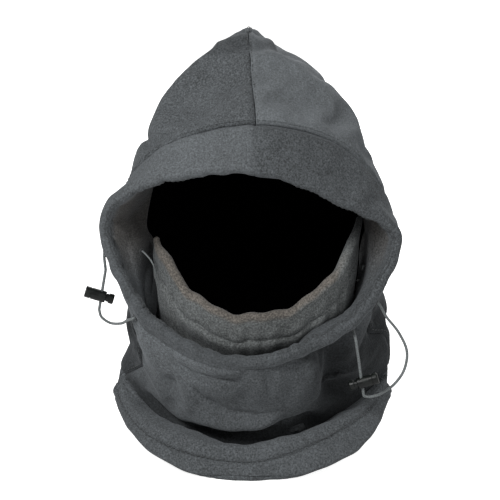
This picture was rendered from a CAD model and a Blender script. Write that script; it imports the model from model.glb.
import math

import bpy
import numpy as np
from mathutils import Matrix, Vector


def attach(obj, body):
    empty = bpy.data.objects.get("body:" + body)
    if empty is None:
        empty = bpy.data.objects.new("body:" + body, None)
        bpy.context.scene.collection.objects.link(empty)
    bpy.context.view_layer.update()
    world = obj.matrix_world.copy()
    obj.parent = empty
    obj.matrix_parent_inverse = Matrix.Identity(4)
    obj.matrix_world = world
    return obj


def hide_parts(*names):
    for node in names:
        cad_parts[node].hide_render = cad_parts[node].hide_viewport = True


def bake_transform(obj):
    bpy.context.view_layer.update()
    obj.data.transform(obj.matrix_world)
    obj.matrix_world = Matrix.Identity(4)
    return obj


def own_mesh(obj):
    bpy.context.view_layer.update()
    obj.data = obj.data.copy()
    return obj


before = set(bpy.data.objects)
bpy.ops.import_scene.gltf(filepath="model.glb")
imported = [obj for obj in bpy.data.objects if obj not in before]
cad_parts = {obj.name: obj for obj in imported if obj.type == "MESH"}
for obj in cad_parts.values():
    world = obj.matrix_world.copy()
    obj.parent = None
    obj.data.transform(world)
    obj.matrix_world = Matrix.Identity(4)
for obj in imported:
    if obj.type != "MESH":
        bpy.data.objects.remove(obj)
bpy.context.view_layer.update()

# ---------------------------------------------------------------- driving dimensions, millimetres
# The hood's own coordinates are the CAD source's: x to the right, y backwards, z up, on its middle plane.

HOOD_PLACE = (4.1, 1.6, 0.0)  # from the hood's coordinates to the frame's

FLEECE = 3.0
LINING = 1.5
LINING_DEPTH = 5.0
SEAM_GAP = 0.2
FOLD_RADIUS = 4.0  # middle of the cloth round the drawcord
CORD_RADIUS = 1.2
THREAD_RADIUS = 0.32
STITCH_LENGTH = 3.2
STITCH_SPACE = 1.3
SIDE_SEAM = 120.0  # degrees round each loop, at the jaw
SEAM_SWING = 27.0  # how far the side seams swing out towards the hem's corners
SWING_LEFT = (7.3, 9.4)  # the loops between which they do
SWING_RIGHT = (4.5, 9.0)

CAMERA_ELEVATION = 14.0  # degrees

# Right half of each loop round the hood: crown line, shoulder, side, jaw and front.
LOOPS = [
    [(0, -92, 259), (75, -80, 234), (129, -55, 197), (91, -75, 133), (0, -110, 107)],  # face opening
    [(0, -74, 299), (78, -54, 272), (121, -20, 196), (92, -66, 120), (0, -112, 96)],  # brim seam
    [(0, -38, 330), (72, -18, 302), (114, 0, 192), (92, -62, 112), (0, -109, 88)],  # forehead
    [(0, 25, 366), (68, 18, 320), (109, 10, 186), (91, -60, 104), (0, -106, 81)],  # peak
    [(0, 78, 346), (68, 58, 306), (109, 14, 172), (90, -59, 97), (0, -103, 74)],  # back of the crown
    [(0, 108, 298), (70, 80, 268), (110, 14, 154), (88, -58, 89), (0, -100, 67)],  # back of the head
    [(0, 114, 238), (74, 84, 215), (112, 12, 134), (86, -57, 81), (0, -97, 60)],  # nape
    [(0, 104, 180), (77, 78, 165), (115, 8, 114), (83, -58, 71), (0, -94, 52)],  # top of the neck
    [(0, 95, 130), (79, 70, 122), (116, 4, 94), (78, -60, 60), (0, -91, 44)],  # neck
    [(0, 95, 88), (81, 68, 86), (114, 0, 76), (72, -62, 50), (0, -90, 37)],  # gutter above the hem
    [(0, 103, 44), (88, 76, 50), (117, -6, 64), (79, -72, 46), (0, -101, 33)],  # crest of the hem
    [(0, 112, -2), (94, 84, 13), (126, -10, 44), (86, -90, 15), (0, -120, -2)],  # lower edge
]
RIDGES = [0, 0.1, 0.6, 1.05, 1.1, 0.5, 0.1, 0, 0, 0, 0, 0]
LAST_LOOP = 11
GUTTER = 9

# The worn cloth isn't even: moves of the loops' points, by (loop, degrees round it).
SLUMPS = {
    (0, 0): (1, -2, 2),
    (0, 45): (4, 0, -2),
    (0, 90): (1, 0, 0),
    (0, -45): (-21, 0, 16),
    (0, -90): (-1, -2, 10),
    (1, 0): (4, 0, 0),
    (1, 45): (6, 0, 0),
    (1, 90): (2.5, 0, 0),
    (1, -45): (-2, 0, 0),
    (2, 0): (1, 0, 0),
    (2, 45): (9, 0, 0),
    (2, 90): (6, 0, 0),
    (2, -45): (-5.3, 0, 0),
    (3, 0): (-2.5, 0, -2),
    (3, 90): (6, 0, 0),
    (3, -45): (9, 0, 0),
    (3, 45): (-7, 0, 0),
    (6, 90): (4, 0, 0),
    (6, -90): (7, 0, 0),
    (7, 90): (5, 0, 0),
    (7, -90): (5, 0, 0),
    (8, 90): (6, 0, -4),
    (8, -90): (8, 0, -4),
    (8, 135): (-4, 5, -2),
    (8, 180): (0, 1, -3),
    (9, 90): (8, 0, -8),
    (9, -90): (0, 0, -12),
    (9, 135): (-6, 8, -14),
    (9, -135): (3, 6, -16),
    (9, 180): (0, 10, -15),
    (10, 90): (3, 0, -7),
    (10, -90): (0, 0, -13),
    (10, -135): (0, -2, -13),
    (10, 180): (0, 0, -5),
    (10, 135): (0, 0, -5),
    (11, 135): (4, 0, 0),
    (11, -90): (3, 0, 0),
}

MASK = {
    "thickness": 3.0,
    "centre_y": -10.0,
    "depth_top": 82.0,
    "depth_bottom": 67.0,
    "half_width_top": 90.5,
    "half_width_bottom": 86.0,
    "bottom": 44.0,
    "top": 134.5,
    "side_rise": 60.0,
    "rise_angle": 73.0,
    "end_angle": 80.0,
    "cord_angle": 70.0,
    "hem": 10.0,
    "stitch_drop": 19.5,
    "widening": 6.0,
}

LOCK = {
    "radius": 5.0,
    "length": 18.5,
    "floor": 2.2,
    "bore": 3.8,
    "hole": 2.3,
    "hole_at": 14.5,
    "stem": 3.5,
    "stem_start": 10.6,
    "head_start": 21.1,
    "head_radius": 4.4,
    "end": 25.7,
    "tilt": 17.0,
}

SPRING = {"radius": 2.6, "wire": 0.35, "clearance": 0.3, "turns": 5, "travel": 2.2}

# Each side cord: where it leaves and enters the rim (degrees, loop), its way and its cord lock's place.
SIDE_CORDS = {
    "left": {
        "exits": [(-103, 0.3), (-129, 0.95)],
        "straight": [(-124.6, -47, 167), (-131, -45, 131)],
        "rest": [(-129, -44, 124), (-121.5, -43, 118.5), (-112, -46, 119), (-106, -53, 124)],
        "lock": (-128.8, -45.7, 143.5),
    },
    "right": {
        "exits": [(136, 0.9), (123, 0.6)],
        "straight": [(89.2, -73.5, 112), (96, -72, 66)],
        "rest": [
            (97.5, -71.5, 61.5), (104, -71, 61), (113, -67, 63), (124, -60, 69),
            (132.5, -54, 80), (134.5, -52, 96), (127, -53, 113), (116, -57, 128),
        ],
        "lock": (94.8, -72.3, 74),
    },
}

# ---------------------------------------------------------------- small helpers


def smooth(value, low, high):
    t = np.clip((value - low) / (high - low), 0, 1)
    return t * t * (3 - 2 * t)


def to_frame(points):
    """Millimetres in the hood's coordinates to metres in the frame."""
    return (np.asarray(points, float) + HOOD_PLACE) / 1000


def waves(points, length, seed, count=9):
    """Smooth seeded noise, about -1 to 1, whose bumps are about length millimetres across."""
    dice = np.random.default_rng(seed)
    total = np.zeros(points.shape[:-1])
    for _ in range(count):
        direction = dice.normal(size=3)
        direction *= 2 * math.pi / (length * dice.uniform(0.75, 1.6) * np.linalg.norm(direction))
        total += np.cos(points @ direction + dice.uniform(0, 2 * math.pi))
    return total / math.sqrt(count)


def side_seam(angle, loop):
    """How many degrees from the crown line the side seam on an angle's side of the hood lies."""
    swing = np.where((angle + 180) % 360 > 180, smooth(loop, *SWING_RIGHT), smooth(loop, *SWING_LEFT))
    return SIDE_SEAM - SEAM_SWING * swing


def swung(angle, loop):
    """Carries the angle of the straight side seam to the swung one, and the angles beside it along."""
    side = np.abs((angle + 180) % 360 - 180)
    seam = side_seam(angle, loop)
    behind = side * seam / SIDE_SEAM
    before = 180 - (180 - side) * (180 - seam) / (180 - SIDE_SEAM)
    moved = np.where(side < SIDE_SEAM, behind, before)
    return np.where((angle + 180) % 360 < 180, -moved, moved)


def hermite(a, b, slope_a, slope_b, t):
    t2 = t * t
    t3 = t2 * t
    return a * (2 * t3 - 3 * t2 + 1) + slope_a * (t3 - 2 * t2 + t) + b * (3 * t2 - 2 * t3) + slope_b * (t3 - t2)


# ---------------------------------------------------------------- the hood's surface


def full_rings():
    """Eight points round each loop, from the crown line over the right side, with the slumps."""
    rings = np.zeros((len(LOOPS), 8, 3))
    for row, loop in enumerate(LOOPS):
        right = np.array(loop, float)
        rings[row, :5] = right
        rings[row, 5:] = right[3:0:-1] * (-1, 1, 1)
    for (row, angle), move in SLUMPS.items():
        rings[row, int(angle / 45) % 8] += move
    return rings


RINGS = full_rings()
RIDGE = np.array(RIDGES, float)


def ring_point(row, angle):
    place = (angle / 45.0) % 8
    i = np.floor(place).astype(int) % 8
    t = (place - np.floor(place))[..., None]
    before, start, end, after = (RINGS[row, (i + k) % 8] for k in (-1, 0, 1, 2))
    chord = end - start
    ridge = RIDGE[row][..., None]
    slope_start = (end - before) / 2
    slope_end = (after - start) / 2
    slope_start = np.where((i == 0)[..., None], slope_start + (chord - slope_start) * ridge, slope_start)
    slope_end = np.where((i == 7)[..., None], slope_end + (chord - slope_end) * ridge, slope_end)
    return hermite(start, end, slope_start, slope_end, t)


def loft(angle, loop):
    """Points of the unwrinkled surface."""
    i = np.clip(np.floor(loop).astype(int), 0, LAST_LOOP - 1)
    rows = [np.clip(i + k, 0, LAST_LOOP) for k in (-1, 0, 1, 2)]
    p = [ring_point(row, angle) for row in rows]
    slope_a = (p[2] - p[0]) * np.where(i > 0, 0.5, 1.0)[..., None]
    slope_b = (p[3] - p[1]) * np.where(i + 2 <= LAST_LOOP, 0.5, 1.0)[..., None]
    return hermite(p[1], p[2], slope_a, slope_b, (loop - i)[..., None])


ANGLE_CELL = 0.5
LOOP_CELL = 0.025
ANGLES = np.arange(0, 360, ANGLE_CELL)
STEPS = np.arange(0, LAST_LOOP + LOOP_CELL / 2, LOOP_CELL)


def table_normals(table):
    around = np.roll(table, -1, axis=0) - np.roll(table, 1, axis=0)
    along = np.gradient(table, axis=1)
    normals = np.cross(around, along)
    return normals / np.linalg.norm(normals, axis=-1, keepdims=True)


def fold(points, path, width, height, fade=0.25):
    """A soft ridge (or a valley, if height is negative) along a path of (x, z) points seen from the front."""
    nearest = np.full(points.shape[:-1], 1e9)
    share = np.zeros(points.shape[:-1])
    path = np.array(path, float)
    lengths = np.linalg.norm(np.diff(path, axis=0), axis=1)
    starts = np.concatenate([[0], np.cumsum(lengths)])
    flat = points[..., (0, 2)]
    for k, length in enumerate(lengths):
        chord = path[k + 1] - path[k]
        t = np.clip(((flat - path[k]) @ chord) / length**2, 0, 1)
        distance = np.linalg.norm(flat - path[k] - t[..., None] * chord, axis=-1)
        closer = distance < nearest
        nearest = np.where(closer, distance, nearest)
        share = np.where(closer, (starts[k] + t * length) / starts[-1], share)
    ends = smooth(share, 0, fade) * smooth(1 - share, 0, fade)
    return height * np.exp(-((nearest / width) ** 2)) * ends


def dent(points, centre, size, height):
    """A round bump or hollow, seen from the front: centre (x, z), size (wide, high)."""
    wide = (points[..., 0] - centre[0]) / size[0]
    high = (points[..., 2] - centre[1]) / size[1]
    return height * np.exp(-(wide**2 + high**2))


def crown_folds(points):
    total = fold(points, [(-36, 346), (-3, 344), (26, 341), (54, 333)], 4, 2.4, 0.2)
    total += fold(points, [(-34, 353), (-3, 351), (26, 348), (52, 341)], 3.5, -2.6, 0.35)
    total += dent(points, (17, 355), (12, 9), 4.5)
    total += dent(points, (-17, 358), (9, 7), 3.0)
    total += dent(points, (-27, 354), (12, 9), 3.2)
    total += fold(points, [(-96, 257), (-86, 265), (-66, 276)], 5, 2.4)
    total += fold(points, [(-94, 270), (-80, 279), (-62, 287)], 6, -2.8)
    total += dent(points, (-48, 312), (22, 24), -2.5)
    total += dent(points, (46, 318), (26, 26), -1.5)
    total += dent(points, (70, 270), (20, 22), 1.5)
    return total


def bib_folds(points):
    total = fold(points, [(-78, 93), (-52, 91), (-34, 89), (-14, 85), (2, 81)], 3.5, -5.5)
    total += fold(points, [(-76, 102), (-56, 100), (-30, 97), (0, 90)], 5, 3.2)
    total += fold(points, [(-50, 79), (-41, 66), (-16, 54), (8, 50), (38, 57)], 2.6, -3.0)
    total += fold(points, [(-48, 92), (-52, 70), (-52, 45)], 6, 4.8)
    total += fold(points, [(-68, 84), (-70, 62), (-66, 42)], 8, -7.5)
    total += fold(points, [(46, 108), (54, 84), (56, 56)], 7, 5.0)
    total += fold(points, [(68, 116), (74, 98), (76, 78), (72, 50)], 11, -15, 0.12)
    total += fold(points, [(-60, 31), (-30, 27), (0, 27), (16, 32), (34, 37), (62, 40)], 6.5, -13.0, 0.12)
    total += fold(points, [(-54, 46), (-20, 40), (8, 42), (30, 52)], 6, 4.5, 0.2)
    total += dent(points, (38, 31), (9, 6), 8.0)
    total += dent(points, (4, 78), (26, 14), 2.4)
    return total


def seam_dip(distance, depth, width):
    groove = -depth * np.exp(-((distance / width) ** 2))
    return groove + 0.35 * depth * np.exp(-(((distance - 2.4 * width) / width) ** 2))


def relief(points, angle, loop):
    """How far the worn cloth stands out from the loft, along its normal."""
    fold_angle = (angle + 180) % 360 - 180
    side = np.abs(fold_angle)
    front = smooth(-points[..., 1], -20, 20)
    on_crown = smooth(loop, 1.02, 1.2) * smooth(7 - loop, 0, 1) * smooth(105 - side, 0, 15)
    on_bib = smooth(side, SIDE_SEAM - 8, SIDE_SEAM + 4)
    on_bib *= smooth(loop, 0.6, 1.1) * smooth(GUTTER + 0.4 - loop, 0, 0.5)
    on_back = smooth(points[..., 1], 0, 40) * smooth(loop, 1.2, 2)
    total = crown_folds(points) * on_crown * (points[..., 1] < 40)
    total += bib_folds(points) * on_bib * front
    total += 1.6 * waves(points * (1, 1, 0.6), 62, 3) * smooth(loop, 0.6, 1.6)
    total += 2.2 * waves(points * (0.5, 0.5, 1.3), 55, 8) * on_back * smooth(loop, 4.5, 6.5)
    total += 0.5 * waves(points, 21, 5)
    run = np.linalg.norm(np.gradient(points, axis=1), axis=-1) / LOOP_CELL
    around = np.linalg.norm(np.roll(points, -1, axis=0) - points, axis=-1) / ANGLE_CELL
    hard_seam = 0.3 + 0.7 * smooth(fold_angle, -38, -24) * smooth(112 - side, 0, 20)
    total += seam_dip(np.abs(loop - 1) * run, 2.6, 2.2) * hard_seam
    undercut = smooth(side, 116, 140) * (0.1 + 0.9 * smooth(points[..., 0], -45, 45))
    total -= 9.0 * undercut * np.exp(-((((loop - 1.1) * run) / 7) ** 2))
    total += 2.0 * undercut * np.exp(-((((loop - 0.3) * run) / 9) ** 2))
    left_gutter = smooth(-fold_angle, 104, 122) * smooth(172 + fold_angle, 0, 20)
    total -= 6.5 * left_gutter * np.exp(-((((loop - GUTTER + 0.12) * run) / 5.5) ** 2))
    total += 2.0 * left_gutter * np.exp(-((((loop - GUTTER - 0.35) * run) / 6) ** 2))
    total += seam_dip(side * around, 1.5, 2.4) * smooth(loop, 0.9, 1.0)
    total += seam_dip(side * around, 0.5, 1.6) * smooth(1.0 - loop, 0, 0.1)
    total += seam_dip(np.abs(side - side_seam(angle, loop)) * around, 1.6, 2.6) * smooth(loop, 1, 2)
    return total


def drape(points, hold, swell, frames):
    """Lets the closed sheet buckle as slightly too large cloth, held softly in place, and gives its new points."""
    columns, rows = points.shape[:2]
    scale = 0.01  # millimetres to decimetres, where the solver is steadier
    index = np.arange(columns * rows).reshape(columns, rows)
    turned = np.roll(index, -1, axis=0)
    quads = np.stack([index[:, :-1], turned[:, :-1], turned[:, 1:], index[:, 1:]], -1).reshape(-1, 4)
    mesh = bpy.data.meshes.new("drape")
    mesh.from_pydata((points.reshape(-1, 3) * scale).tolist(), [], quads.tolist())
    sheet = bpy.data.objects.new("drape", mesh)
    bpy.context.scene.collection.objects.link(sheet)
    group = sheet.vertex_groups.new(name="hold")
    levels = np.round(hold.reshape(-1), 2)
    for level in np.unique(levels):
        group.add(np.nonzero(levels == level)[0].tolist(), float(level), "REPLACE")
    cloth = sheet.modifiers.new("drape", "CLOTH")
    cloth.settings.vertex_group_mass = "hold"
    cloth.settings.pin_stiffness = 0.6
    cloth.settings.quality = 6
    cloth.settings.mass = 0.2
    cloth.settings.tension_stiffness = 12
    cloth.settings.compression_stiffness = 12
    cloth.settings.shear_stiffness = 6
    cloth.settings.bending_stiffness = 1.2
    cloth.settings.shrink_min = -swell
    cloth.settings.effector_weights.gravity = 0.15
    cloth.collision_settings.use_collision = False
    scene = bpy.context.scene
    for step in range(1, frames + 1):
        scene.frame_set(step)
    graph = bpy.context.evaluated_depsgraph_get()
    shown = sheet.evaluated_get(graph).to_mesh()
    result = np.zeros(columns * rows * 3)
    shown.vertices.foreach_get("co", result)
    bpy.data.objects.remove(sheet)
    bpy.data.meshes.remove(mesh)
    scene.frame_set(1)
    return result.reshape(columns, rows, 3) / scale


def softened(table, columns, rows):
    """The table averaged over its neighbours."""
    for _ in range(3):
        table = sum(np.roll(table, k, axis=0) for k in range(-columns, columns + 1)) / (2 * columns + 1)
        padded = np.pad(table, ((0, 0), (rows, rows), (0, 0)), mode="reflect", reflect_type="odd")
        count = table.shape[1]
        table = sum(padded[:, k : k + count] for k in range(2 * rows + 1)) / (2 * rows + 1)
    return table


def enlarge(coarse, columns, rows):
    """Bilinear growth of a closed grid of vectors to the skin table's size."""
    u = np.arange(columns) * coarse.shape[0] / columns
    v = np.linspace(0, coarse.shape[1] - 1, rows)
    i = np.floor(u).astype(int)
    j = np.minimum(np.floor(v).astype(int), coarse.shape[1] - 2)
    s = (u - i)[:, None, None]
    t = (v - j)[None, :, None]
    k = (i + 1) % coarse.shape[0]
    low = coarse[i][:, j] * (1 - s) + coarse[k][:, j] * s
    high = coarse[i][:, j + 1] * (1 - s) + coarse[k][:, j + 1] * s
    return low * (1 - t) + high * t


BUCKLE_LIMIT = 5.0  # how far the cloth simulation may move a point
SWELL = 0.025  # how much too large the simulated cloth is
AMBIENT = 0.3


def make_skin():
    """The relief and, on top of it, the small buckles of the cloth simulation."""
    angle, loop = np.meshgrid(ANGLES, STEPS, indexing="ij")
    flat = loft(angle, loop)
    skin = flat + table_normals(flat) * relief(flat, angle, loop)[..., None]
    coarse = skin[::3, ::4]
    held_loop = loop[::3, ::4]
    held_angle = angle[::3, ::4]
    side = np.abs((held_angle + 180) % 360 - 180)
    seams = np.minimum(np.abs(held_loop - 1), np.abs(held_loop - GUTTER)) < 0.12
    seams |= (held_loop < 0.15) | (held_loop > GUTTER + 0.6)
    seams |= side < 1.0
    seams |= np.abs(side - side_seam(held_angle, held_loop)) < 1.6
    hold = np.where(seams, 1.0, 0.03)
    moved = drape(coarse, hold, SWELL, 24) - coarse
    moved -= softened(moved, 6, 5)
    calm = 0.45 * (1 - smooth(held_loop, 0.9, 1.3)) + 0.6 * smooth(held_loop, 4.5, 6) * smooth(side, 50, 80)
    moved *= (1 - calm)[..., None]
    size = np.linalg.norm(moved, axis=-1, keepdims=True)
    moved *= np.minimum(1, BUCKLE_LIMIT / np.maximum(size, 1e-6))
    return skin + enlarge(moved, len(ANGLES), len(STEPS))


SKIN = make_skin()
SKIN_NORMALS = table_normals(SKIN)
SOFT_SKIN = softened(SKIN, 9, 4)
SOFT_NORMALS = table_normals(SOFT_SKIN)
RUN = np.linalg.norm(np.gradient(SKIN, axis=1), axis=-1, keepdims=True) / LOOP_CELL


def look_up(table, angle, loop):
    u = (np.asarray(angle, float) / ANGLE_CELL) % len(ANGLES)
    v = np.clip(np.asarray(loop, float) / LOOP_CELL, 0, len(STEPS) - 1.001)
    i = np.floor(u).astype(int) % len(ANGLES)
    j = np.floor(v).astype(int)
    k = (i + 1) % len(ANGLES)
    s = (u - np.floor(u))[..., None]
    t = (v - j)[..., None]
    low = table[i, j] * (1 - s) + table[k, j] * s
    high = table[i, j + 1] * (1 - s) + table[k, j + 1] * s
    return low * (1 - t) + high * t


def normal(angle, loop):
    n = look_up(SKIN_NORMALS, angle, loop)
    return n / np.linalg.norm(n, axis=-1, keepdims=True)


def skin(angle, loop, depth=0.0):
    return look_up(SKIN, angle, loop) - normal(angle, loop) * np.asarray(depth)[..., None]


def soft_skin(angle, loop, depth):
    """Like skin(), for the layers behind that don't show its small folds."""
    return look_up(SOFT_SKIN, angle, loop) - look_up(SOFT_NORMALS, angle, loop) * depth[..., None]


def further(angle, loop, distance):
    """The loop number a distance further along the cloth."""
    return loop + distance / look_up(RUN, angle, loop)[..., 0]


# ---------------------------------------------------------------- making meshes


def make_object(name, points, faces, material):
    mesh = bpy.data.meshes.new(name)
    mesh.from_pydata(to_frame(points).tolist(), [], faces.tolist() if hasattr(faces, "tolist") else faces)
    mesh.polygons.foreach_set("use_smooth", [True] * len(mesh.polygons))
    mesh.materials.append(material)
    mesh.update()
    obj = bpy.data.objects.new(name, mesh)
    bpy.context.scene.collection.objects.link(obj)
    return obj


def paint(obj, name, values):
    """A number on each vertex, that the material reads by its name."""
    attribute = obj.data.attributes.new(name, "FLOAT", "POINT")
    attribute.data.foreach_set("value", np.asarray(values, np.float32).ravel())


def tube_faces(rings, closed):
    """Quads between rows of points, each row a closed ring."""
    count, size = rings.shape
    after = np.roll(rings, -1, axis=1)
    ahead = np.roll(rings, -1, axis=0)
    ahead_after = np.roll(after, -1, axis=0)
    quads = np.stack([rings, ahead, ahead_after, after], -1)
    return (quads if closed else quads[:-1]).reshape(-1, 4)


def edge_roundness(distance, radius):
    """Share of the full thickness at a distance from a cut edge."""
    t = 1 - np.clip(distance / radius, 0, 1)
    return np.maximum(np.sqrt(1 - t * t), 0.22)


def cloth_sheet(name, middle, normals, thickness, material, closed=False, rounding=1.0):
    """A closed sheet of fabric with rounded edges, from its middle points (columns, rows)."""
    along_u = np.linalg.norm(np.diff(middle, axis=0), axis=-1).mean()
    from_rows = np.minimum(
        np.cumsum(np.linalg.norm(np.diff(middle, axis=1, prepend=middle[:, :1]), axis=-1), axis=1),
        np.cumsum(np.linalg.norm(np.diff(middle, axis=1, append=middle[:, -1:])[:, ::-1], axis=-1), axis=1)[:, ::-1],
    )
    distance = from_rows
    if not closed:
        column = np.arange(middle.shape[0])
        from_columns = np.minimum(column, middle.shape[0] - 1 - column) * along_u
        distance = np.minimum(distance, from_columns[:, None])
    half = (thickness / 2) * (1 - rounding * (1 - edge_roundness(distance, thickness / 2)))
    outer = middle + normals * half[..., None]
    inner = middle - normals * half[..., None]
    columns, rows = middle.shape[:2]
    points = np.concatenate([outer, inner[:, ::-1]], axis=1)
    index = np.arange(columns * rows * 2).reshape(columns, rows * 2)
    faces = tube_faces(index, closed).tolist()
    if not closed:
        for column, flip in ((0, False), (columns - 1, True)):
            for row in range(rows - 1):
                cap = [index[column, row], index[column, row + 1]]
                cap += [index[column, 2 * rows - 2 - row], index[column, 2 * rows - 1 - row]]
                faces.append([int(k) for k in (cap[::-1] if flip else cap)])
    return make_object(name, points.reshape(-1, 3), faces, material)


def edged(start, end, count, near):
    """Numbers from start to end, with two extra close to each end for the rounded edge."""
    inner = np.linspace(start, end, count)
    step = near if end > start else -near
    extra = [start, start + step, start + 3 * step]
    extra_end = [end - 3 * step, end - step, end]
    return np.array(extra + [v for v in inner if abs(v - start) > 4 * near and abs(end - v) > 4 * near] + extra_end)


def tube(path, radius, sides, material, name, ends=True, weave=0.0, pitch=2.4):
    """A round cord along a path of points; weave makes a braid's bumps."""
    path = np.asarray(path, float)
    tangent = np.gradient(path, axis=0)
    tangent /= np.linalg.norm(tangent, axis=1, keepdims=True)
    side = np.zeros_like(path)
    seed = np.cross(tangent[0], (0.3, 0.9, 0.2))
    for k, t in enumerate(tangent):
        seed = seed - t * (seed @ t)
        seed /= np.linalg.norm(seed)
        side[k] = seed
    up = np.cross(tangent, side)
    run = np.concatenate([[0], np.cumsum(np.linalg.norm(np.diff(path, axis=0), axis=1))])
    turn = np.arange(sides) * 2 * math.pi / sides
    phase = 2 * math.pi * run[:, None] / pitch
    bumps = weave * np.cos(2 * turn[None] - phase) * np.cos(2 * turn[None] + phase)
    size = radius * (1 + bumps)
    if ends:
        size[[0, -1]] *= 0.45
    points = path[:, None] + side[:, None] * (size * np.cos(turn))[..., None] + up[:, None] * (size * np.sin(turn))[..., None]
    index = np.arange(len(path) * sides).reshape(len(path), sides)
    faces = tube_faces(index, False).tolist()
    faces.append(index[0].tolist())
    faces.append(index[-1, ::-1].tolist())
    return make_object(name, points.reshape(-1, 3), faces, material)


def resample(points, step):
    """Evenly spaced points along a chain of points."""
    points = np.asarray(points, float)
    run = np.concatenate([[0], np.cumsum(np.linalg.norm(np.diff(points, axis=0), axis=1))])
    count = max(int(run[-1] / step), 2)
    wanted = np.linspace(0, run[-1], count + 1)
    return np.stack([np.interp(wanted, run, points[:, k]) for k in range(3)], axis=1)


def catmull(points, steps):
    """A smooth curve through points."""
    p = [np.array(q, float) for q in points]
    p = [2 * p[0] - p[1]] + p + [2 * p[-1] - p[-2]]
    out = []
    for k in range(1, len(p) - 2):
        for t in np.linspace(0, 1, steps, endpoint=False):
            out.append(hermite(p[k], p[k + 1], (p[k + 1] - p[k - 1]) / 2, (p[k + 2] - p[k]) / 2, t))
    out.append(p[-2])
    return np.array(out)


def stitches(name, lines, material, radius=THREAD_RADIUS):
    """Rows of short thread stitches: each line is (points, normals) and each stitch dips in at its ends."""
    verts, faces = [], []
    sides = 6
    for points, normals in lines:
        points = np.asarray(points, float)
        run = np.concatenate([[0], np.cumsum(np.linalg.norm(np.diff(points, axis=0), axis=1))])
        start = 0.6
        while start + STITCH_LENGTH < run[-1]:
            at = start + STITCH_LENGTH * np.array([0, 0.12, 0.5, 0.88, 1.0])
            lift = radius * np.array([-1.6, 0.3, 1.0, 0.3, -1.6])
            centre = np.stack([np.interp(at, run, points[:, k]) for k in range(3)], axis=1)
            out = np.stack([np.interp(at, run, normals[:, k]) for k in range(3)], axis=1)
            centre = centre + out * lift[:, None]
            ahead = centre[-1] - centre[0]
            across = np.cross(ahead / np.linalg.norm(ahead), out[2])
            base = len(verts)
            for c, o in zip(centre, out):
                for k in range(sides):
                    a = 2 * math.pi * k / sides
                    verts.append(c + radius * (math.cos(a) * across + math.sin(a) * o))
            for ring in range(4):
                for k in range(sides):
                    n = (k + 1) % sides
                    low, high = base + ring * sides, base + (ring + 1) * sides
                    faces.append([low + k, low + n, high + n, high + k])
            faces.append([base + k for k in reversed(range(sides))])
            faces.append([base + 4 * sides + k for k in range(sides)])
            start += STITCH_LENGTH + STITCH_SPACE
    return make_object(name, np.array(verts), faces, material)


# ---------------------------------------------------------------- materials


def srgb(*values):
    """A colour from 0-255 display values."""
    linear = [(v / 255 / 12.92) if v / 255 <= 0.04045 else ((v / 255 + 0.055) / 1.055) ** 2.4 for v in values]
    return (*linear, 1.0)


class Nodes:
    """Short ways to add and join shader nodes."""

    def __init__(self, name):
        self.material = bpy.data.materials.new(name)
        self.material.use_nodes = True
        self.tree = self.material.node_tree
        self.shader = self.tree.nodes["Principled BSDF"]
        self.place = self.add("ShaderNodeTexCoord").outputs["Object"]

    def add(self, kind, **settings):
        node = self.tree.nodes.new(kind)
        for key, value in settings.items():
            setattr(node, key, value)
        return node

    def set(self, socket, value):
        if isinstance(value, bpy.types.NodeSocket):
            self.tree.links.new(value, socket)
        else:
            socket.default_value = value

    def noise(self, scale, detail=2.0, roughness=0.5, stretch=None):
        node = self.add("ShaderNodeTexNoise")
        self.set(node.inputs["Vector"], self.stretched(stretch) if stretch else self.place)
        self.set(node.inputs["Scale"], scale)
        self.set(node.inputs["Detail"], detail)
        self.set(node.inputs["Roughness"], roughness)
        return node.outputs["Fac"]

    def stretched(self, factors):
        node = self.add("ShaderNodeVectorMath", operation="MULTIPLY")
        self.set(node.inputs[0], self.place)
        self.set(node.inputs[1], factors)
        return node.outputs[0]

    def cells(self, scale):
        node = self.add("ShaderNodeTexVoronoi", feature="SMOOTH_F1")
        self.set(node.inputs["Vector"], self.place)
        self.set(node.inputs["Scale"], scale)
        return node.outputs["Distance"]

    def math(self, operation, a, b=0.0, c=0.0):
        node = self.add("ShaderNodeMath", operation=operation)
        self.set(node.inputs[0], a)
        self.set(node.inputs[1], b)
        self.set(node.inputs[2], c)
        return node.outputs[0]

    def spread(self, value, low, high, new_low, new_high):
        node = self.add("ShaderNodeMapRange")
        for k, v in enumerate((value, low, high, new_low, new_high)):
            self.set(node.inputs[k], v)
        return node.outputs[0]

    def mix(self, share, a, b):
        node = self.add("ShaderNodeMix", data_type="RGBA")
        self.set(node.inputs["Factor"], share)
        self.set(node.inputs["A"], a)
        self.set(node.inputs["B"], b)
        return node.outputs["Result"]

    def attribute(self, name):
        return self.add("ShaderNodeAttribute", attribute_name=name).outputs["Fac"]

    def bump(self, height, distance, strength=1.0, normal=None):
        node = self.add("ShaderNodeBump")
        self.set(node.inputs["Height"], height)
        self.set(node.inputs["Distance"], distance)
        self.set(node.inputs["Strength"], strength)
        if normal is not None:
            self.set(node.inputs["Normal"], normal)
        return node.outputs["Normal"]

    def finish(self, **inputs):
        for key, value in inputs.items():
            self.set(self.shader.inputs[key.replace("_", " ")], value)
        return self.material


WARM_DARK = srgb(74, 66, 58)
WARM_LIGHT = srgb(124, 112, 100)


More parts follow.
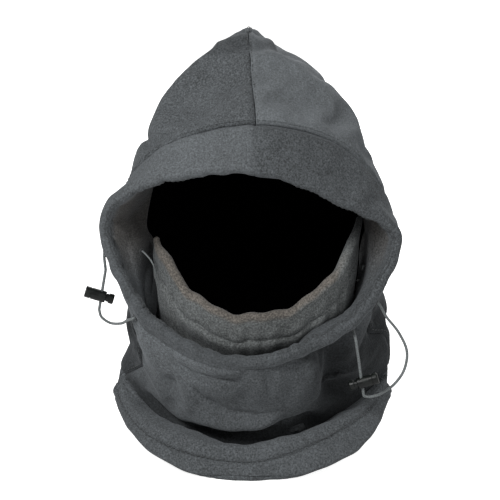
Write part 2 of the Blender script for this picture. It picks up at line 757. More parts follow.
def fleece_material(name, dark, light, grain=1.0):
    """Anti-pill fleece: curled fibre clumps, mottled tone and a pale sheen.

    Numbers painted on the mesh steer it: tone scales the colour, pile the contrast, warm browns it.
    """
    n = Nodes(name)
    clumps = n.cells(800)
    fibres = n.noise(1500, 3, 0.6)
    mottle = n.noise(620, 3, 0.6)
    patches = n.noise(26, 2, 0.5)
    pile = n.attribute("pile")
    mixed = n.math("ADD", n.math("MULTIPLY", clumps, 0.45), n.math("MULTIPLY", mottle, 0.75))
    mixed = n.math("ADD", mixed, n.math("MULTIPLY", fibres, 0.25))
    centred = n.math("SUBTRACT", mixed, 0.72)
    contrast = n.math("MULTIPLY", n.math("MULTIPLY", centred, pile), 2.6 * grain)
    share = n.math("ADD", contrast, n.spread(patches, 0.3, 0.7, 0.4, 0.6))
    colour = n.mix(share, dark, light)
    colour = n.mix(n.attribute("warm"), colour, n.mix(share, WARM_DARK, WARM_LIGHT))
    toned = n.add("ShaderNodeVectorMath", operation="SCALE")
    n.set(toned.inputs[0], colour)
    n.set(toned.inputs["Scale"], n.attribute("tone"))
    height = n.math("ADD", n.math("MULTIPLY", mottle, 0.7), n.math("MULTIPLY", clumps, -0.5))
    coarse = n.bump(height, 0.0011, 0.55)
    fine = n.bump(fibres, 0.0003, 0.5, coarse)
    return n.finish(
        Base_Color=toned.outputs[0], Roughness=0.95, Normal=fine,
        Sheen_Weight=0.12, Sheen_Roughness=0.5, Sheen_Tint=(0.8, 0.85, 0.9, 1), Specular_IOR_Level=0.1,
    )


def lining_material():
    n = Nodes("lining_knit")
    rows = n.add("ShaderNodeTexWave", wave_type="BANDS", bands_direction="Z")
    n.set(rows.inputs["Vector"], n.place)
    n.set(rows.inputs["Scale"], 180.0)
    n.set(rows.inputs["Distortion"], 1.2)
    speck = n.noise(700, 2)
    colour = n.mix(n.math("MULTIPLY", rows.outputs["Fac"], speck), (0.0006, 0.0006, 0.0007, 1), (0.002, 0.002, 0.0022, 1))
    return n.finish(
        Base_Color=colour, Roughness=1.0, Specular_IOR_Level=0.0, Normal=n.bump(rows.outputs["Fac"], 0.0003, 0.4),
    )


def cord_material():
    n = Nodes("braided_cord")
    speck = n.noise(1400, 2, 0.6)
    tone = n.noise(60, 2)
    colour = n.mix(n.spread(speck, 0.3, 0.7, 0, 1), srgb(54, 58, 59), srgb(128, 134, 135))
    colour = n.mix(n.spread(tone, 0.35, 0.65, 0, 0.35), colour, srgb(80, 84, 84))
    return n.finish(Base_Color=colour, Roughness=0.62, Sheen_Weight=0.15, Normal=n.bump(speck, 0.0002, 0.6))


def thread_material(name, dark, light):
    n = Nodes(name)
    twist = n.noise(2400, 2, 0.5)
    return n.finish(
        Base_Color=n.mix(twist, dark, light), Roughness=0.7, Normal=n.bump(twist, 0.0001, 0.6), Sheen_Weight=0.2,
    )


def plastic_material():
    n = Nodes("moulded_plastic")
    grain = n.noise(1900, 2, 0.5)
    wear = n.noise(160, 3, 0.6)
    colour = n.mix(n.spread(wear, 0.45, 0.75, 0, 1), srgb(8, 11, 10), srgb(22, 27, 24))
    return n.finish(
        Base_Color=colour, Roughness=n.spread(wear, 0.3, 0.7, 0.3, 0.46), Normal=n.bump(grain, 0.00008, 0.4),
        Specular_IOR_Level=0.32,
    )


def steel_material():
    n = Nodes("spring_steel")
    scratch = n.noise(900, 3, 0.6, (1, 1, 6))
    return n.finish(
        Base_Color=n.mix(scratch, srgb(120, 124, 128), srgb(190, 193, 196)), Metallic=1.0,
        Roughness=n.spread(scratch, 0.3, 0.7, 0.22, 0.42), Normal=n.bump(scratch, 0.00005, 0.4),
    )


FLEECE_LOOK = fleece_material("fleece", srgb(58, 60, 61), srgb(98, 102, 105))
MASK_LOOK = fleece_material("mask_fleece", srgb(64, 66, 66), srgb(106, 109, 109), 1.1)
LINING_LOOK = lining_material()
CORD_LOOK = cord_material()
THREAD_LOOK = thread_material("seam_thread", srgb(30, 33, 34), srgb(58, 62, 64))
PALE_THREAD_LOOK = thread_material("brim_thread", srgb(56, 60, 62), srgb(88, 93, 96))
PLASTIC_LOOK = plastic_material()
STEEL_LOOK = steel_material()


def painted(obj, tone=1.0, pile=1.0, warm=0.0):
    """Nap: panels cut in other directions catch the light differently."""
    count = len(obj.data.vertices)
    for name, values in (("tone", tone), ("pile", pile), ("warm", warm)):
        paint(obj, name, np.broadcast_to(values, count))


def bend_with_hood(obj):
    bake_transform(obj)
    return obj


def bend_with_mask(obj):
    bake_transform(obj)
    return obj


def vertex_places(obj):
    """Vertices of a piece in the hood's coordinates."""
    flat = np.zeros(len(obj.data.vertices) * 3)
    obj.data.vertices.foreach_get("co", flat)
    return flat.reshape(-1, 3) * 1000 - HOOD_PLACE


# ---------------------------------------------------------------- fabric pieces


TUCK = 4.5  # how far below the skin the panels' lower edges go, behind the hem
TUCK_LOOP = GUTTER + 0.2


def panel(name, angles, from_loop, to_loop, rows, rounding=1.0):
    """A panel of the hood's skin, and the loop number of each of its vertices."""
    share = edged(0, 1, rows, 0.004)
    angle, part = np.meshgrid(angles, share, indexing="ij")
    start = further(angle, np.full_like(angle, from_loop), SEAM_GAP / 2)
    end = further(angle, np.full_like(angle, to_loop), -SEAM_GAP / 2)
    loop = start + (end - start) * part
    angle = swung(angle, loop)
    middle = skin(angle, loop, FLEECE / 2 + TUCK * smooth(loop, GUTTER - 0.03, GUTTER + 0.1))
    obj = cloth_sheet(name, middle, normal(angle, loop), FLEECE, FLEECE_LOOK, rounding=rounding)
    return obj, np.concatenate([loop, loop[:, ::-1]], axis=1).ravel()


def hood_panel(side, sign):
    gap = 0.06
    angles = edged(gap, SIDE_SEAM - gap, 128, 0.25)
    if sign < 0:
        angles = -angles[::-1]
    obj, _ = panel(f"hood_panel_{side}", angles, 1.0, TUCK_LOOP, 190)
    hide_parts(f"crown_{side}", f"neck_panel_{side}")
    places = vertex_places(obj)
    shaded = (1 - smooth(places[:, 2], 110, 200)) * smooth(28 - places[:, 1], 0, 36)
    neck = 1 - (0.66 if sign < 0 else 0.82) * shaded
    above_crease = 1 - 0.3 * smooth(places[:, 2] + 0.12 * np.abs(places[:, 0]), 348, 352) * smooth(36 - places[:, 1], 0, 18)
    tone, pile = (0.97, 1.0) if sign < 0 else (1.43, 0.55)
    painted(obj, tone * neck * above_crease, pile)
    return bend_with_hood(obj)


def bib():
    gap = 0.06
    angles = edged(SIDE_SEAM + gap, 360 - SIDE_SEAM - gap, 150, 0.25)
    obj, loops = panel("bib_panel", angles, 1.0, TUCK_LOOP, 96, rounding=0.0)
    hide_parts("bib_front")
    places = vertex_places(obj)
    left = smooth(-places[:, 0], 0, 60) * smooth(places[:, 2], 60, 110)
    right = smooth(places[:, 0], 30, 66) * smooth(125 - places[:, 2], 0, 30)
    under = smooth(38 + 0.1 * places[:, 0] - places[:, 2], 0, 6) * smooth(74 - np.abs(places[:, 0]), 0, 16)
    low_left = smooth(loops, 8.3, 8.95) * smooth(-places[:, 0], 42, 60)
    shadow = np.maximum(0.67 * under, 0.6 * low_left)
    painted(obj, (0.82 + 0.44 * left - 0.52 * right) * (1 - shadow), 0.8)
    return bend_with_hood(obj)


def facing_depth(angle):
    side = np.abs((angle + 180) % 360 - 180)
    behind_mask = smooth(side, 88, 104) * smooth(142 - side, 0, 20)
    return 24 + 20 * np.abs(np.sin(np.radians(angle))) ** 3 + 22 * behind_mask


def rim_middle(angle, across):
    """Middle of the cloth of the folded rim: across 0 to 1 the facing, 1 to 2 the fold, 2 to 3 outside."""
    reach = FOLD_RADIUS + FLEECE / 2
    fold_loop = further(angle, np.zeros_like(angle), reach)
    seam_loop = further(angle, np.ones_like(angle), -SEAM_GAP / 2)
    outside = skin(angle, fold_loop + (seam_loop - fold_loop) * np.clip(across - 2, 0, 1), FLEECE / 2)
    inside_run = (1 - np.clip(across, 0, 1)) * facing_depth(angle)
    sideways = np.abs(np.sin(np.radians(angle))) ** 5
    lean = np.where(np.sin(np.radians(angle)) > 0, 0.3, 0.5)
    facing_loop = further(angle, fold_loop, inside_run)
    depth = FLEECE / 2 + 2 * FOLD_RADIUS + inside_run * lean * sideways
    from_fold = smooth(inside_run, 0, 12)[..., None]
    inside = skin(angle, facing_loop, depth) * (1 - from_fold) + soft_skin(angle, facing_loop, depth) * from_fold
    turn = (2 - np.clip(across, 1, 2)) * math.pi
    forward = skin(angle, np.maximum(fold_loop - LOOP_CELL, 0)) - skin(angle, fold_loop + LOOP_CELL)
    forward /= np.linalg.norm(forward, axis=-1, keepdims=True)
    out = normal(angle, fold_loop)
    radius = FOLD_RADIUS * (1 + 0.05 * waves(skin(angle, fold_loop), 34, 12))
    rolled = skin(angle, fold_loop, reach)
    rolled = rolled + out * (FOLD_RADIUS * np.cos(turn))[..., None] + forward * (radius * np.sin(turn))[..., None]
    across = across[..., None]
    return np.where(across > 2, outside, np.where(across < 1, inside, rolled))


def grid_normals(grid, closed):
    if closed:
        around = np.roll(grid, -1, axis=0) - np.roll(grid, 1, axis=0)
    else:
        around = np.gradient(grid, axis=0)
    normals = np.cross(around, np.gradient(grid, axis=1))
    return normals / np.linalg.norm(normals, axis=-1, keepdims=True)


def rim():
    angles = np.arange(0, 360, 0.72)
    rows = np.concatenate([
        [0, 0.015, 0.05], np.linspace(0.1, 0.9, 17), np.linspace(1, 2, 25), np.linspace(2.04, 2.94, 22), [2.98, 2.994, 3],
    ])
    angle, across = np.meshgrid(angles, rows, indexing="ij")
    middle = rim_middle(angle, across)
    inside = across < 1
    ripple = waves(middle * (1, 1, 0.5), 34, 21) * 1.0 * np.sin(np.clip(across, 0, 1) * math.pi)
    middle = middle + grid_normals(middle, True) * np.where(inside, ripple, 0)[..., None]
    normals = grid_normals(middle, True)
    side = np.abs((angle + 180) % 360 - 180)
    crisp = 1 - smooth(side, 112, 124) * (across > 2)
    obj = cloth_sheet("rim_band", middle, normals, FLEECE, FLEECE_LOOK, closed=True, rounding=crisp)
    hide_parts("brim_left", "brim_right", "chin_band")
    places = vertex_places(obj)
    low = smooth(places[:, 2], 130, 225)
    right = smooth(places[:, 0], -3, 6)
    tone = (0.8 + 0.05 * right + 0.4 * low) * (1 - 0.32 * right * low)
    tone *= 1 + low * (0.14 * smooth(places[:, 0], 60, 100) - 0.14 * smooth(-places[:, 0], 90, 112))
    facing = np.tile(np.concatenate([across[0], across[0][::-1]]) < 1, len(angles))
    inward = np.tile(np.concatenate([across[0], across[0][::-1]]), len(angles))
    lit = 0.28 * smooth(212 - places[:, 2], 0, 16)
    shade = 1 - facing * (0.46 - 0.17 * right) * smooth(1 - inward - lit, -0.02, 0.16)
    shade -= facing * 0.32 * smooth(1 - inward - lit, 0.1, 0.6)
    channel = (np.exp(-(((inward - 1.38) / 0.04) ** 2)) + np.exp(-(((inward - 1.24) / 0.04) ** 2)))
    around = np.repeat(side[:, 0], 2 * len(rows))
    shade *= 1 - 0.3 * channel * smooth(around, 55, 80) * smooth(160 - around, 0, 20)
    warm = facing * smooth(places[:, 2], 150, 210) * 0.35
    painted(obj, tone * shade, 0.7 + 0.25 * right, warm)
    return bend_with_hood(obj)


def lining():
    """The dark inner layer, from behind the facing down to the hem; it rounds the crown's sharp ridge."""
    angles = np.arange(0, 360, 1.5)
    angle, share = np.meshgrid(angles, np.linspace(0, 1, 120), indexing="ij")
    side = np.abs((angle + 180) % 360 - 180)
    start = 1.25 + 1.3 * smooth(side, 95, 130)
    loop = start + (TUCK_LOOP - start) * share
    depth = LINING_DEPTH + LINING / 2 + TUCK * smooth(loop, GUTTER - 0.3, GUTTER)
    near_ridge = (1 - smooth(loop, 6.5, 8))[..., None]
    middle = soft_skin(angle, loop, depth) * near_ridge + skin(angle, loop, depth) * (1 - near_ridge)
    flat = loft(angle, loop)
    room = 13 + np.maximum(20 * smooth(flat[..., 0], 25, 60), 13 * smooth(loop, 6.5, 8))
    inward = (0, MASK["centre_y"], 0) - flat * (1, 1, 0)
    inward /= np.linalg.norm(inward, axis=-1, keepdims=True)
    behind_bib = smooth(side, 106, 122)[..., None]
    middle += (flat + inward * room[..., None] - middle) * behind_bib
    obj = cloth_sheet("lining", middle, grid_normals(middle, True), LINING, LINING_LOOK, closed=True)
    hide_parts("hood_lining", "neck_lining")
    return bend_with_hood(obj)


def hem_stitch_loop(angle):
    """The stitched line climbs the band towards the right."""
    return 10.47 - 0.22 * smooth(180 - np.abs(np.mod(angle, 360) - 120), 120, 170)


def hem(node, name, from_angle, to_angle):
    """Folded band: a thick outer layer with its lower edge rolled round the hem and a line of stitches."""
    gap = 0.2
    thickness = 5.5
    angles = edged(from_angle + gap, to_angle - gap, 190, 0.25)
    share = edged(0, 1, 46, 0.008)
    angle, part = np.meshgrid(angles, share, indexing="ij")
    start = GUTTER + 0.06
    loop = start + (LAST_LOOP - 0.08 - start) * part
    middle = skin(angle, loop, thickness / 2)
    puff = 1.1 * np.sin(np.clip((part - 0.1) / 0.62, 0, 1) * math.pi)
    puff += 0.9 * np.sin(np.clip((part - 0.72) / 0.28, 0, 1) * math.pi)
    puff += 0.5 * waves(middle, 28, 31)
    puff -= 1.5 * np.exp(-(((loop - hem_stitch_loop(angle)) / 0.05) ** 2))
    middle = middle + normal(angle, loop) * (puff - 1.0)[..., None]
    middle[..., 2] = np.maximum(middle[..., 2], thickness / 2 * 0.9)
    obj = cloth_sheet(name, middle, grid_normals(middle, False), thickness, FLEECE_LOOK)
    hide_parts(node)
    painted(obj, 0.95, 0.9)
    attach(obj, "collar")


# ---------------------------------------------------------------- the mask


def mask_top(angle):
    wave = 1.3 * np.sin(np.radians(angle) * 11 + 0.6) + 0.9 * np.sin(np.radians(angle) * 23 + 2.0)
    wave *= 1 - smooth(np.abs(angle), 52, 68)
    droop = 18 * smooth(-angle, 55, 80)
    return MASK["top"] + MASK["side_rise"] * (angle / MASK["rise_angle"]) ** 2 + wave - droop


def mask_point(angle, share, depth=0.0):
    turn = np.radians(angle)
    width = MASK["half_width_bottom"] + (MASK["half_width_top"] - MASK["half_width_bottom"]) * share - depth
    reach = MASK["depth_bottom"] + (MASK["depth_top"] - MASK["depth_bottom"]) * share - depth
    height = MASK["bottom"] + (mask_top(angle) - MASK["bottom"]) * share
    across = width * np.sin(turn) + MASK["widening"] * np.sin(turn) ** 2 * share
    return np.stack([across, MASK["centre_y"] - reach * np.cos(turn), height], axis=-1)


def mask_surface(angle, share):
    """Outer face of the mask with its gathers."""
    below = (mask_top(angle) - MASK["bottom"]) * (1 - share)
    gathers = 0.9 * np.sin(np.radians(angle) * 31 + 1.5 * np.sin(np.radians(angle) * 7))
    gathers *= smooth(below, 4, 14) * (1 - smooth(below, 20, 52))
    dip = -2.4 * np.exp(-(((below - MASK["stitch_drop"]) / 2.2) ** 2))
    slack = 1.3 * np.sin(np.radians(angle) * 5 + below / 14) * smooth(below, 20, 50)
    height = mask_top(angle) - below
    tucked = 4.5 * smooth(below, 23, 38) * (1 - smooth(np.abs(angle), 40, 60))
    tucked += 10.0 * smooth(104 - height, 0, 18)
    tucked += 9.0 * smooth(angle, 38, 54) * (smooth(130 - height, 0, 16) - smooth(104 - height, 0, 18))
    return mask_point(angle, share, -(gathers + dip + slack - tucked - 0.6))


def beside_rim(places):
    """1 where points lie close beside the rim's inner edge, seen from the camera, and 0 further away."""
    angle = np.arange(96.0, 258.0)
    edge = rim_middle(angle, np.full_like(angle, 1.2))
    tilt = math.radians(CAMERA_ELEVATION)
    seen = np.array([(1, 0), (0, math.sin(tilt)), (0, math.cos(tilt))])
    gap = np.linalg.norm((places @ seen)[:, None] - (edge @ seen)[None], axis=-1).min(axis=1)
    return 1 - smooth(gap, 3.5, 11)


def mask():
    thickness = MASK["thickness"]
    full_roll = thickness / 2 + CORD_RADIUS + 0.8
    angles = edged(-MASK["end_angle"], MASK["end_angle"], 170, 0.3)
    outside = edged(0, 1, 60, 0.006)[:-1]
    turns = np.linspace(0, 1, 9)
    inside = np.linspace(0.08, 1, 6)
    columns = []
    for a in angles:
        roll = full_roll * (1 - 0.6 * smooth(abs(a), 66, 80))
        line = np.full(len(outside), a)
        outer = mask_surface(line, outside)
        edge = mask_point(np.full(len(turns), a), 1.0, roll * (1 - np.cos(turns * math.pi)))
        rise = 2 * MASK["side_rise"] * a / MASK["rise_angle"] ** 2
        steep = math.hypot(1, rise / math.radians(MASK["half_width_top"]))
        edge[:, 2] += roll * np.sin(turns * math.pi) * steep
        share = 1 - inside * MASK["hem"] / (mask_top(a) - MASK["bottom"])
        back = mask_point(np.full(len(inside), a), share, 2 * roll)
        columns.append(np.concatenate([outer, edge, back]))
    middle = np.array(columns)
    obj = cloth_sheet("mask_cloth", middle, grid_normals(middle, False), thickness, MASK_LOOK)
    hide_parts("mask_panel")
    places = vertex_places(obj)
    turn = np.degrees(np.arctan2(places[:, 0], MASK["centre_y"] - places[:, 1]))
    edge = mask_top(turn) - places[:, 2]
    shade = 1 - 0.8 * smooth(turn, 62, 76) + 0.12 * smooth(np.abs(turn), 5, 35) - 0.15 * smooth(-turn, 66, 80)
    shade += 0.12 * smooth(turn, 20, 45) * (1 - smooth(turn, 58, 66)) + 0.22 * smooth(edge, 21, 26)
    fringe = 0.5 * (1 - smooth(edge, -1, 3.5)) * (1 - smooth(turn, 50, 68))
    painted(obj, 0.98 * shade * (1 - 0.6 * beside_rim(places)), 1.0, fringe)
    return bend_with_mask(obj)


def mask_cord():
    middle = MASK["thickness"] / 2 + CORD_RADIUS + 0.8
    angle = np.linspace(-MASK["cord_angle"], MASK["cord_angle"], 200)
    obj = tube(mask_point(angle, np.ones_like(angle), middle), CORD_RADIUS, 8, CORD_LOOK, "mask_drawcord")
    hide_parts("mask_cord")
    return bend_with_mask(obj)


def mask_stitches():
    angle = np.linspace(-MASK["end_angle"] + 2, MASK["end_angle"] - 2, 160)
    share = 1 - MASK["stitch_drop"] / (mask_top(angle) - MASK["bottom"])
    inner = mask_surface(angle, share)
    out = np.stack([np.sin(np.radians(angle)), -np.cos(np.radians(angle)), np.zeros_like(angle)], axis=-1)
    obj = stitches("mask_stitches", [(inner + out * MASK["thickness"] / 2, out)], THREAD_LOOK)
    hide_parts("mask_thread")
    return bend_with_mask(obj)


# ---------------------------------------------------------------- seams, drawcord, eyelets


def along_loop(from_angle, to_angle, loop, shift=0.0, depth=0.0):
    angle = np.linspace(from_angle, to_angle, 240)
    at = further(angle, np.full_like(angle, loop), shift)
    return skin(angle, at, depth), normal(angle, at)


def down_seam(angle, from_loop, to_loop, shift=0.0):
    loop = np.linspace(from_loop, to_loop, 200)
    line = swung(np.full_like(loop, angle), loop)
    points = skin(line, loop)
    out = normal(line, loop)
    across = np.cross(np.gradient(points, axis=0), out)
    across /= np.linalg.norm(across, axis=-1, keepdims=True)
    return points + across * shift, out


def facing_line(from_angle, to_angle, across):
    angle = np.linspace(from_angle, to_angle, 200)
    level = np.full_like(angle, across)
    step = 0.02
    points = rim_middle(angle, level)
    along = rim_middle(angle, level + step) - points
    out = np.cross(np.gradient(points, axis=0), along)
    out /= np.linalg.norm(out, axis=-1, keepdims=True)
    return points + out * (FLEECE / 2), out


def seam_stitches():
    brim = stitches("brim_seam_stitches", [along_loop(-94, 94, 1.0, 3.0)], PALE_THREAD_LOOK)
    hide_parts("brim_seam_thread")
    crown = stitches("crown_seam_stitches", [down_seam(0, 1.05, 8.9, 1.6), down_seam(0, 1.05, 8.9, -1.6)], THREAD_LOOK)
    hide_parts("crown_seam_thread")
    lines = [facing_line(start, start + 140, across) for start in (20, -160) for across in (1.38, 1.24)]
    facing = stitches("facing_stitches", lines, THREAD_LOOK)
    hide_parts("facing_thread")
    for obj in (brim, crown, facing):
        bend_with_hood(obj)
    for side, sign in (("left", -1), ("right", 1)):
        obj = stitches(f"side_seam_stitches_{side}", [down_seam(sign * (SIDE_SEAM - 2.2), 1.4, 8.7)], THREAD_LOOK)
        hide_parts(f"side_seam_thread_{side}")
        bend_with_hood(obj)
    for name, start, end in (("hem_thread_front", 93, 267), ("hem_thread_back", -87, 87)):
        angle = np.linspace(start, end, 240)
        at = hem_stitch_loop(angle)
        line = (skin(angle, at, 0.2), normal(angle, at))
        obj = stitches(name.replace("thread", "stitches"), [line], THREAD_LOOK)
        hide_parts(name)
        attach(obj, "collar")


def drawcord():
    reach = FOLD_RADIUS + FLEECE / 2
    angle = np.linspace(2, 358, 500)
    at = further(angle, np.zeros_like(angle), reach)
    obj = tube(skin(angle, at, reach), CORD_RADIUS, 8, CORD_LOOK, "drawcord")
    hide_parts("brim_cord", "chin_cord")
    return bend_with_hood(obj)


def eyelet(name, centre, out):
    """A buttonhole ring worked in thread."""
    out = np.asarray(out, float)
    first = np.cross(out, (0.1, 0.2, 1.0))
    first /= np.linalg.norm(first)
    second = np.cross(out, first)
    turn = np.linspace(0, 2 * math.pi, 49)[:, None]
    wobble = 2.7 + 0.12 * np.sin(turn * 16)
    ring = centre + out * 0.5 + wobble * (np.cos(turn) * first + np.sin(turn) * second)
    obj = tube(ring, 0.7, 10, THREAD_LOOK, name + "_ring", ends=False, weave=0.12, pitch=1.1)
    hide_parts(name)
    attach(obj, "collar")
    return obj


def cord_eyelets():
    for side, cord in SIDE_CORDS.items():
        order = cord["exits"] if side == "left" else cord["exits"][::-1]
        for level, (angle, loop) in zip(("upper", "lower"), order):
            at = (np.array(float(angle)), np.array(float(loop)))
            eyelet(f"cord_eyelet_{side}_{level}", skin(*at), normal(*at))


TETHERS = {
    "left": {"angle": -103.0, "across": 0.5, "mask_angle": -68.0, "mask_share": 0.87, "slack": (3, -6, 3)},
    "right": {"angle": 108.0, "across": 0.3, "mask_angle": 74.0, "mask_share": 0.72, "slack": (0, 6, -6)},
}


def tethers():
    for side, tether in TETHERS.items():
        angle = np.array([tether["angle"]])
        seat = rim_middle(angle, np.array([tether["across"]]))[0]
        near = rim_middle(angle, np.array([tether["across"] + 0.02]))[0]
        beside = rim_middle(angle + 1, np.array([tether["across"]]))[0]
        out = np.cross(beside - seat, near - seat)
        out /= np.linalg.norm(out)
        seat = seat + out * FLEECE / 2
        eyelet(f"mask_eyelet_{side}", seat, out)
        end = mask_point(np.array(tether["mask_angle"]), tether["mask_share"], -2.4)
        middle = (seat + end) / 2 + tether["slack"]
        path = resample(catmull([seat - out * 1.5, seat + out * 2.5, middle, end], 14), 0.8)
        obj = tube(path, 0.8, 8, CORD_LOOK, f"mask_tether_{side}_cord", weave=0.1)
        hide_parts(f"mask_tether_{side}")
        bend_with_mask(obj)


def side_cords():
    for side, cord in SIDE_CORDS.items():
        exits = [(np.array(float(a)), np.array(float(s))) for a, s in cord["exits"]]
        start, end = skin(*exits[0]), skin(*exits[1])
        start_out, end_out = normal(*exits[0]), normal(*exits[1])
        first, second = (np.array(p, float) for p in cord["straight"])
        head = catmull([start - start_out * 2, start + start_out * 1.5, first], 12)
        tail = catmull([second, *cord["rest"], end + end_out * 3, end - end_out * 2], 12)
        path = resample(np.concatenate([head, tail]), 0.6)
        obj = tube(path, CORD_RADIUS, 14, CORD_LOOK, f"side_cord_{side}_braid", weave=0.09, pitch=2.6)
        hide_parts(f"side_cord_{side}")
        root = (start + end) / 2
        chord = (end - start) / np.linalg.norm(end - start)
        outward = path.mean(axis=0) - root
        outward -= chord * (outward @ chord)
        outward /= np.linalg.norm(outward)
        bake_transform(obj)


# ---------------------------------------------------------------- cord locks


def lathe_points(outline, sides):
    outline = np.array(outline, float)
    turn = np.arange(sides) * 2 * math.pi / sides
    radius, height = outline[:, 0], outline[:, 1]
    return np.stack([
        radius[:, None] * np.cos(turn), radius[:, None] * np.sin(turn), np.broadcast_to(height[:, None], (len(outline), sides)),
    ], axis=-1)


def lathe(name, outline, sides=40):
    """A solid turned about Z from [radius, height] points that start and end on the axis."""
    body = lathe_points(outline[1:-1], sides)
    points = np.concatenate([body.reshape(-1, 3), [[0, 0, outline[0][1]], [0, 0, outline[-1][1]]]])
    index = np.arange(len(body) * sides).reshape(len(body), sides)
    faces = tube_faces(index, False)[:, ::-1].tolist()
    top, bottom = len(points) - 1, len(points) - 2
    for k in range(sides):
        n = (k + 1) % sides
        faces.append([bottom, int(index[0, n]), int(index[0, k])])
        faces.append([top, int(index[-1, k]), int(index[-1, n])])
    mesh = bpy.data.meshes.new(name)
    mesh.from_pydata((points / 1000).tolist(), [], faces)
    obj = bpy.data.objects.new(name, mesh)
    bpy.context.scene.collection.objects.link(obj)
    return obj


def bore_hole(obj, cutter):
    tool = obj.modifiers.new("hole", "BOOLEAN")
    tool.object = cutter
    tool.operation = "DIFFERENCE"
    tool.solver = "EXACT"
    bake_modifiers(obj)
    bpy.data.objects.remove(cutter)


def bake_modifiers(obj):
    graph = bpy.context.evaluated_depsgraph_get()
    mesh = bpy.data.meshes.new_from_object(obj.evaluated_get(graph))
    obj.modifiers.clear()
    obj.data = mesh


def finish_hard(obj, material, frame_matrix):
    bevel = obj.modifiers.new("edges", "BEVEL")
    bevel.width = 0.00022
    bevel.segments = 2
    bevel.limit_method = "ANGLE"
    bevel.angle_limit = math.radians(40)
    bake_modifiers(obj)
    obj.data.transform(frame_matrix)
    obj.data.materials.clear()
    obj.data.materials.append(material)
    obj.data.polygons.foreach_set("use_smooth", [True] * len(obj.data.polygons))
    obj.data.update()
    flat = obj.modifiers.new("flats", "WEIGHTED_NORMAL")
    flat.keep_sharp = True


def lock_matrix(side, sign):
    """From the lock's own coordinates (bore along +Z from the closed end, cord hole along Y) to the frame."""
    tilt = math.radians(LOCK["tilt"])
    inward = Vector((-sign * math.cos(tilt), 0, -math.sin(tilt)))
    hole = Vector((-sign * math.sin(tilt), 0, math.cos(tilt)))
    across = hole.cross(inward)
    place = Vector(to_frame(SIDE_CORDS[side]["lock"])) - inward * LOCK["hole_at"] / 1000
    turn = Matrix((across, hole, inward)).transposed().to_4x4()
    return Matrix.Translation(place) @ turn


def block(size, centre):
    mesh = bpy.data.meshes.new("cutter")
    x, y, z = (s / 2000 for s in size)
    corners = [(sx * x, sy * y, sz * z) for sx in (-1, 1) for sy in (-1, 1) for sz in (-1, 1)]
    corners = [tuple(c + m / 1000 for c, m in zip(corner, centre)) for corner in corners]
    faces = [(0, 1, 3, 2), (4, 6, 7, 5), (0, 4, 5, 1), (2, 3, 7, 6), (0, 2, 6, 4), (1, 5, 7, 3)]
    mesh.from_pydata(corners, [], faces)
    obj = bpy.data.objects.new("cutter", mesh)
    bpy.context.scene.collection.objects.link(obj)
    return obj


def drill(radius, length, height):
    """A round cutter along Y at a height on the lock's axis."""
    obj = lathe("cutter", [(0, -length / 2), (radius, -length / 2), (radius, length / 2), (0, length / 2)], 28)
    obj.data.transform(Matrix.Translation((0, 0, height / 1000)) @ Matrix.Rotation(math.pi / 2, 4, "X"))
    return obj


def barrel_outline():
    r, length, ring = LOCK["radius"], LOCK["length"], 5.2
    return [
        (0, 0), (r - 1.1, 0), (r - 0.45, 0.2), (r - 0.1, 0.7), (r, 1.3), (r, ring - 0.5), (r - 0.45, ring - 0.3),
        (r - 0.45, ring + 0.3), (r, ring + 0.5), (r, length - 1.0), (r - 0.25, length - 0.35), (r - 0.7, length),
        (LOCK["bore"], length), (LOCK["bore"], LOCK["floor"]), (0, LOCK["floor"]),
    ]


def plunger_outline():
    stem, head, start, end = LOCK["stem"], LOCK["head_radius"], LOCK["head_start"], LOCK["end"]
    return [
        (0, LOCK["stem_start"]), (stem, LOCK["stem_start"]), (stem, start), (head - 0.4, start), (head, start + 0.4),
        (head, end - 1.0), (head - 0.3, end - 0.35), (head - 1.0, end), (head - 1.6, end - 0.3), (0, end - 0.3),
    ]


def cord_locks():
    for side, sign in (("left", -1), ("right", 1)):
        place = lock_matrix(side, sign)
        barrel = lathe(f"{side}_lock_shell", barrel_outline())
        bore_hole(barrel, drill(LOCK["hole"], 30, LOCK["hole_at"]))
        finish_hard(barrel, PLASTIC_LOOK, place)
        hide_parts(f"{side}_lock_barrel")
        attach(barrel, f"{side}_lock")
        button = lathe(f"{side}_lock_button", plunger_outline())
        bore_hole(button, block((5, 20, 7), (0, 0, 15.5)))
        finish_hard(button, PLASTIC_LOOK, place)
        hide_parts(f"{side}_lock_plunger")
        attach(button, f"{side}_plunger")


def lock_springs():
    """Coils with closed ends that flatten as the button is pressed."""
    clear = SPRING["wire"] + SPRING["clearance"]
    low, high = LOCK["floor"] + clear, LOCK["stem_start"] - clear
    share = np.linspace(0, 1, 40 * SPRING["turns"])
    height = low + (high - low) * smooth(share, -0.12, 1.12)
    turn = 2 * math.pi * SPRING["turns"] * share
    coil = np.stack([SPRING["radius"] * np.cos(turn), SPRING["radius"] * np.sin(turn), height], axis=-1)
    for side, sign in (("left", -1), ("right", 1)):
        place = np.array(lock_matrix(side, sign))
        path = coil @ place[:3, :3].T + place[:3, 3] * 1000 - HOOD_PLACE
        obj = tube(path, SPRING["wire"], 10, STEEL_LOOK, f"{side}_lock_coil")
        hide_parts(f"{side}_lock_spring")
        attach(obj, f"{side}_lock")
        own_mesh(obj)


# ---------------------------------------------------------------- stage


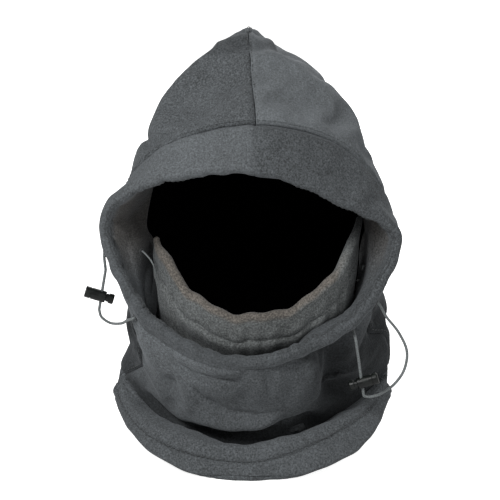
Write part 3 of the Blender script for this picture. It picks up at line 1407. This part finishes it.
def stage():
    mesh = bpy.data.meshes.new("floor")
    size = 12.0
    mesh.from_pydata([(-size, -size, 0), (size, -size, 0), (size, size, 0), (-size, size, 0)], [], [(0, 1, 2, 3)])
    floor = bpy.data.objects.new("floor", mesh)
    bpy.context.scene.collection.objects.link(floor)
    n = Nodes("floor_paper")
    tone = n.noise(3, 2)
    seen = n.add("ShaderNodeLightPath").outputs["Is Camera Ray"]
    look = n.finish(
        Base_Color=n.mix(tone, (0.8, 0.8, 0.8, 1), (0.84, 0.84, 0.84, 1)), Roughness=0.9,
        Emission_Color=(1, 1, 1, 1), Emission_Strength=n.math("MULTIPLY", seen, 0.9),
    )
    mesh.materials.append(look)


def area_light(name, place, target, size, power, colour=(1, 1, 1)):
    light = bpy.data.lights.new(name, "AREA")
    light.shape = "DISK"
    light.size = size
    light.energy = power
    light.color = colour
    obj = bpy.data.objects.new(name, light)
    obj.location = place
    obj.rotation_euler = (Vector(target) - Vector(place)).to_track_quat("-Z", "Y").to_euler()
    bpy.context.scene.collection.objects.link(obj)


def lights():
    world = bpy.context.scene.world or bpy.data.worlds.new("studio")
    bpy.context.scene.world = world
    world.use_nodes = True
    tree = world.node_tree
    background = tree.nodes["Background"]
    background.inputs["Color"].default_value = (1, 1, 1, 1)
    seen = tree.nodes.new("ShaderNodeLightPath")
    strength = tree.nodes.new("ShaderNodeMapRange")
    strength.inputs["To Min"].default_value = AMBIENT
    strength.inputs["To Max"].default_value = 1.05
    tree.links.new(seen.outputs["Is Camera Ray"], strength.inputs["Value"])
    tree.links.new(strength.outputs["Result"], background.inputs["Strength"])
    middle = (0, 0, 0.2)
    area_light("key", (-1.0, -1.3, 1.55), middle, 0.8, 38)
    area_light("fill", (1.2, -1.5, 0.8), middle, 1.0, 6)
    area_light("back", (0.6, 1.8, 1.0), middle, 1.4, 22)
    bpy.context.scene.view_settings.view_transform = "Standard"


def camera():
    elevation = math.radians(CAMERA_ELEVATION)
    distance, field, sensor = 1.7, 0.44, 36.0
    target = Vector(to_frame((0, 0, 171)))
    back = Vector((0, -math.cos(elevation), math.sin(elevation)))
    right = Vector((1, 0, 0))
    up = right.cross(-back)
    target += right * -0.00088 + up * 0.00176
    data = bpy.data.cameras.new("camera")
    data.sensor_width = sensor
    data.lens = sensor * distance / field
    obj = bpy.data.objects.new("camera", data)
    obj.location = target + back * distance
    obj.rotation_euler = (-back).to_track_quat("-Z", "Y").to_euler()
    bpy.context.scene.collection.objects.link(obj)
    bpy.context.scene.camera = obj


# ---------------------------------------------------------------- build

for side, sign in (("left", -1), ("right", 1)):
    hood_panel(side, sign)
bib()
rim()
lining()
hem("hem_front", "hem_front_band", 90, 270)
hem("hem_back", "hem_back_band", -90, 90)
mask()
mask_cord()
mask_stitches()
seam_stitches()
drawcord()
cord_eyelets()
tethers()
side_cords()
cord_locks()
lock_springs()
stage()
lights()
camera()
